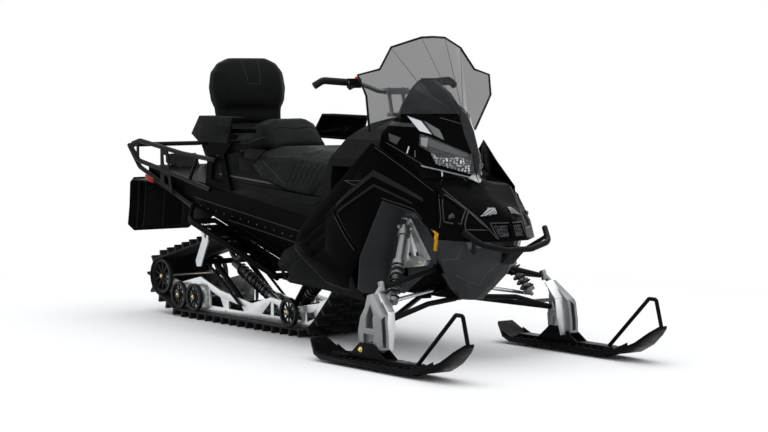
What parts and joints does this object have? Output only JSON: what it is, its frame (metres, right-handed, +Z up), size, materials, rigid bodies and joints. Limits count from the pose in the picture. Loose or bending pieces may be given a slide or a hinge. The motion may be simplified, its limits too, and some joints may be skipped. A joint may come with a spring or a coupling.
{
  "type": "snowmobile",
  "caption": "Black two-up utility snowmobile with tall smoked windshield, turning handlebars, steering skis on cast spindles, rear carrier and long rubber track.",
  "frame": {"origin": "centre of the bounding box in plan, on the plane the skis and track stand on", "axes": "+X to the rider's left, +Y rearwards, +Z up"},
  "size_m": [1.232, 3.355, 1.438],
  "materials": {
    "black_sheet": "satin",
    "black_tube": "satin",
    "tail_lens": "gloss",
    "flap_rubber": "matte",
    "seat_vinyl": "satin",
    "satin_plastic": "satin",
    "gloss_black": "gloss",
    "lamp_lens": "gloss",
    "smoked_glazing": "gloss",
    "bright_steel": "polished",
    "grip_rubber": "matte",
    "cast_engine": "matte",
    "cast_silver": "satin",
    "amber_lens": "gloss",
    "shock_grey": "satin",
    "ski_plastic": "satin",
    "track_rubber": "matte",
    "wheel_plastic": "satin",
    "axle_steel": "satin"
  },
  "bodies": {
    "chassis": {"tunnel": "black_sheet", "running_boards": "black_sheet", "carrier": "black_tube", "tail_lamp": "tail_lens", "tow_hitch": "black_sheet", "snow_flap": "flap_rubber", "driver_cushion": "seat_vinyl", "passenger_cushion": "seat_vinyl", "backrest": "seat_vinyl", "seat_base": "satin_plastic", "passenger_posts": "black_tube", "hand_guards": "satin_plastic", "hood": "gloss_black", "headlamps": "lamp_lens", "dash_pod": "satin_plastic", "windshield": "smoked_glazing", "console": "satin_plastic", "side_panels": "gloss_black", "foot_pans": "satin_plastic", "engine_block": "cast_engine", "bulkhead": "black_sheet", "well_liners": "satin_plastic", "shock_towers": "cast_silver", "nose_pan": "satin_plastic", "front_bumper": "black_tube", "amber_reflectors": "amber_lens", "front_arms": "black_tube", "drop_brackets": "cast_silver", "front_shocks": "shock_grey", "track": "track_rubber", "slide_rails": "cast_silver", "wheels": "wheel_plastic", "axles": "axle_steel", "skid_arms": "black_tube", "skid_shocks": "shock_grey"},
    "steering": {"riser": "bright_steel", "handlebar": "bright_steel", "grips": "grip_rubber", "hand_controls": "satin_plastic"},
    "spindle_left": {"spindle_left": "cast_silver"},
    "spindle_right": {"spindle_right": "cast_silver"},
    "ski_left": {"ski_left": "ski_plastic"},
    "ski_right": {"ski_right": "ski_plastic"},
    "tie_rod_left": {"tie_rod_left": "black_tube"},
    "tie_rod_right": {"tie_rod_right": "black_tube"}
  },
  "joints": [
    {"name": "handlebar_turn", "type": "hinge", "parent": "chassis", "child": "steering", "pos_m": [0, -0.474, 1.08], "axis": [0, 0.2425, 0.9701], "range_deg": [-35, 35]},
    {"name": "spindle_left_steer", "type": "hinge", "parent": "chassis", "child": "spindle_left", "pos_m": [0.475, -1.02, 0.205], "axis": [-0.0861, 0.3643, 0.9273], "range_deg": [-28, 28]},
    {"name": "spindle_right_steer", "type": "hinge", "parent": "chassis", "child": "spindle_right", "pos_m": [-0.475, -1.02, 0.205], "axis": [0.0861, 0.3643, 0.9273], "range_deg": [-28, 28]},
    {"name": "ski_left_rock", "type": "hinge", "parent": "spindle_left", "child": "ski_left", "pos_m": [0.54, -1, 0.085], "axis": [1, 0, 0], "range_deg": [-12, 12], "stiffness_Nm_per_rad": 60},
    {"name": "ski_right_rock", "type": "hinge", "parent": "spindle_right", "child": "ski_right", "pos_m": [-0.54, -1, 0.085], "axis": [1, 0, 0], "range_deg": [-12, 12], "stiffness_Nm_per_rad": 60},
    {"name": "tie_rod_left_travel", "type": "slide", "parent": "chassis", "child": "tie_rod_left", "axis": [0.9871, 0, -0.1599], "range_m": [-0.05, 0.05]},
    {"name": "tie_rod_right_travel", "type": "slide", "parent": "chassis", "child": "tie_rod_right", "axis": [-0.9871, 0, -0.1599], "range_m": [-0.05, 0.05]}
  ],
  "couplings": [
    {"joint": "spindle_left_steer", "follows": "handlebar_turn", "ratio": 0.8},
    {"joint": "spindle_right_steer", "follows": "handlebar_turn", "ratio": 0.8},
    {"joint": "tie_rod_left_travel", "follows": "handlebar_turn", "m_per_rad": -0.08},
    {"joint": "tie_rod_right_travel", "follows": "handlebar_turn", "m_per_rad": 0.08}
  ]
}
